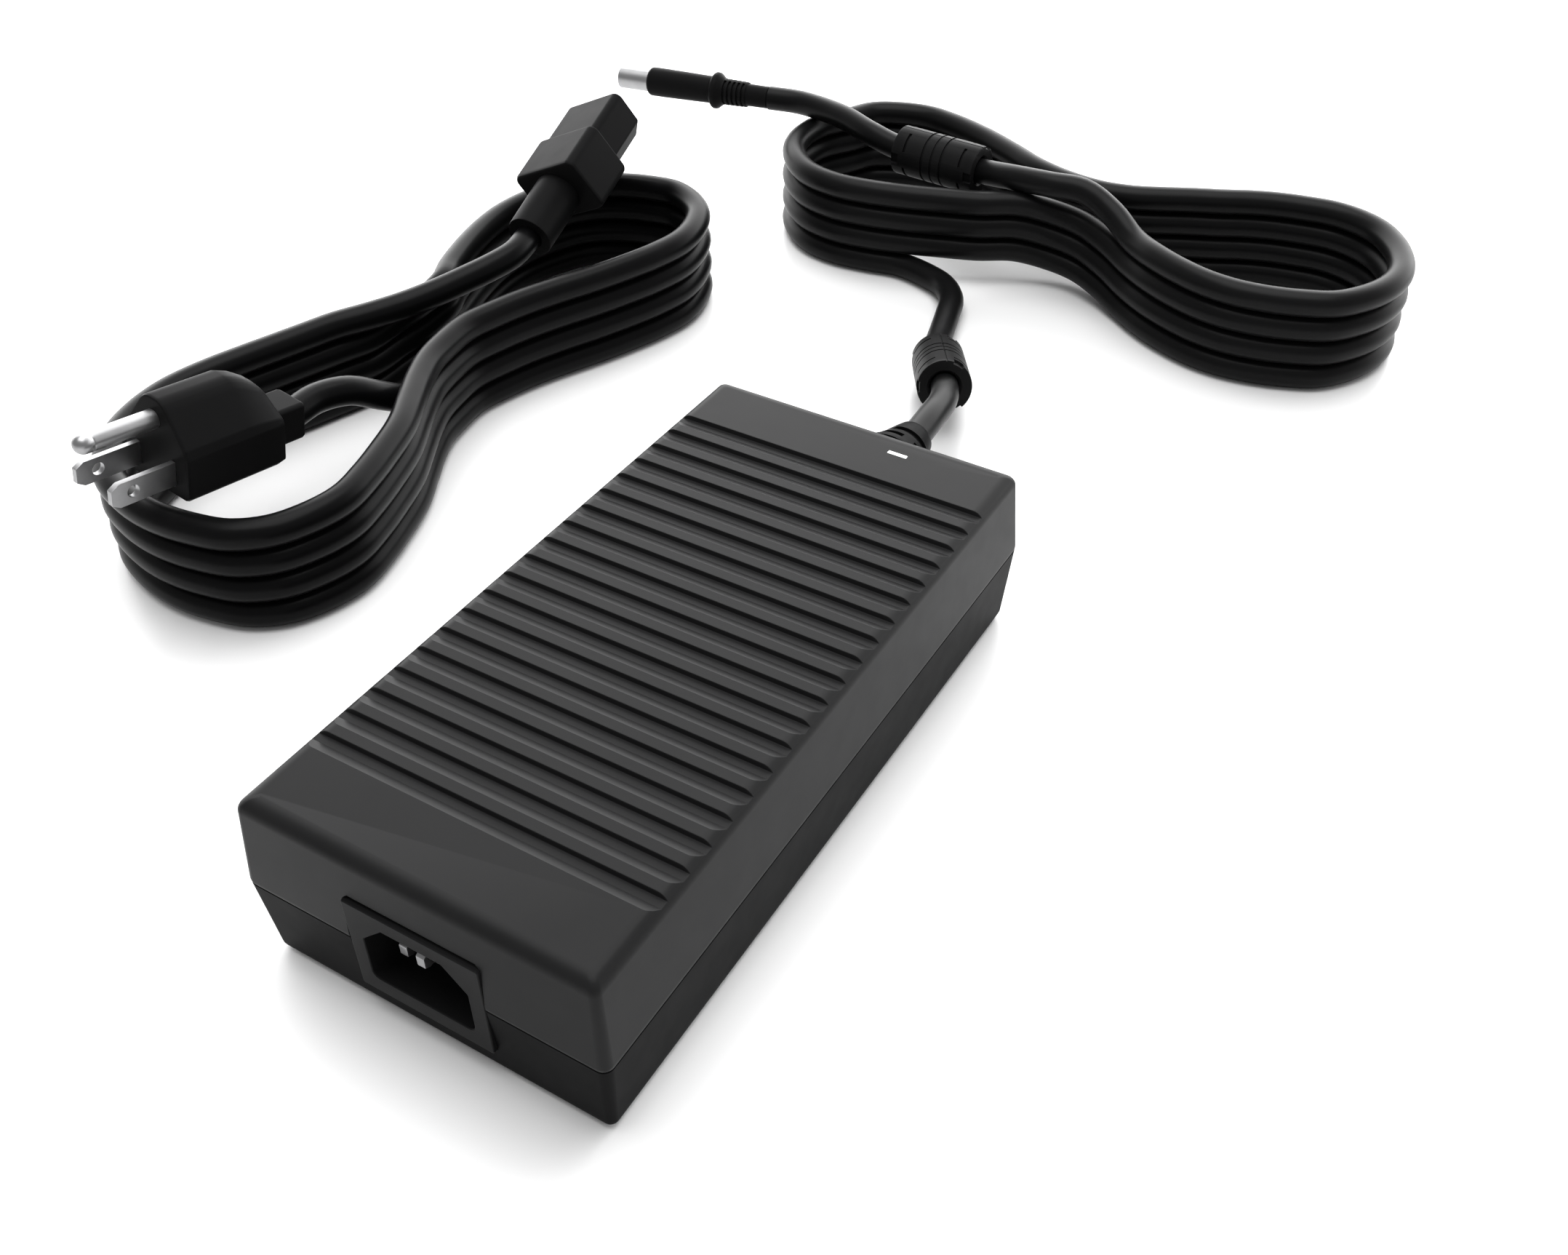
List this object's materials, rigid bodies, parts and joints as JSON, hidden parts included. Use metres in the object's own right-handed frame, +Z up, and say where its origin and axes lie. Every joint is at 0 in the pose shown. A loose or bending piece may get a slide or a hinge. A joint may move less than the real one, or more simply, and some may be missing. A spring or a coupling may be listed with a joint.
{
  "type": "laptop power adapter",
  "caption": "Grooved rectangular mains power brick with a fixed round output cord ending in a barrel plug, and a loose coiled mains lead with an inlet connector and a wall plug.",
  "frame": {"origin": "bottom centre of the brick, on the table it lies on", "axes": "+Y along the brick's length toward the end that the output cord leaves from, +X across the brick, +Z up"},
  "size_m": [0.2836, 0.3795, 0.0623],
  "materials": {
    "grey_shell": "satin, finely textured grey plastic",
    "dark_shell": "satin dark plastic",
    "black_plastic": "satin black plastic",
    "cord_output": "matte black cord jacket",
    "cord_mains": "semi-gloss black cord jacket",
    "soft_black": "matte black moulded relief",
    "bright_metal": "bright nickel plate",
    "contact_brass": "tinned brass",
    "window": "white diffusing plastic",
    "sheet_metal": "plain sheet",
    "insulation": "thin insulating sheet",
    "board": "green solder mask",
    "component_black": "black moulded package",
    "component_yellow": "yellow film capacitor case and winding tape",
    "component_blue": "blue sleeve",
    "copper": "enamelled copper wire",
    "ferrite": "sintered ferrite",
    "glass_body": "fuse sleeve",
    "wire_red": "wire insulation"
  },
  "bodies": {
    "adapter": {"bottom_cover": "dark_shell", "top_cover": "grey_shell", "light_window": "window", "inlet_housing": "black_plastic", "inlet_blade_line": "bright_metal", "inlet_blade_neutral": "bright_metal", "inlet_blade_earth": "bright_metal", "lower_heat_spreader": "sheet_metal", "lower_insulator": "insulation", "upper_heat_spreader": "sheet_metal", "upper_insulator": "insulation", "circuit_board": "board", "fuse": "glass_body", "film_capacitor": "component_yellow", "mode_choke": "copper", "bridge_rectifier": "component_black", "boost_choke": "copper", "bulk_capacitor": "component_blue", "transistor": "component_black", "primary_heat_sink": "sheet_metal", "transformer_core": "ferrite", "transformer_winding": "component_yellow", "output_rectifier": "component_black", "secondary_heat_sink": "sheet_metal", "output_capacitor_1": "component_black", "output_capacitor_2": "component_black", "output_capacitor_3": "component_black", "control_board": "board", "light_source": "window", "output_wire_1": "wire_red", "output_wire_2": "wire_red", "strain_relief": "soft_black", "feed_cord": "cord_output", "ferrite_core_1": "ferrite", "ferrite_cover_1": "black_plastic", "output_hank": "cord_output", "plug_cord": "cord_output", "ferrite_core_2": "ferrite", "ferrite_cover_2": "black_plastic", "plug_relief": "soft_black", "plug_grip": "soft_black", "plug_barrel": "bright_metal", "plug_insulator": "black_plastic", "plug_pin": "contact_brass"},
    "mains_lead": {"mains_plug": "soft_black", "mains_plug_relief": "soft_black", "mains_blade_line": "bright_metal", "mains_blade_neutral": "bright_metal", "mains_earth_pin": "bright_metal", "mains_plug_cord": "cord_mains", "mains_hank": "cord_mains", "connector_cord": "cord_mains", "connector_relief": "soft_black", "connector_body": "soft_black", "contact_line": "contact_brass", "contact_neutral": "contact_brass", "contact_earth": "contact_brass"}
  },
  "joints": [
    {"name": "mains_lead_lift", "type": "slide", "parent": "adapter", "child": "mains_lead", "axis": [0, 0, 1], "range_m": [0, 0.06]}
  ]
}
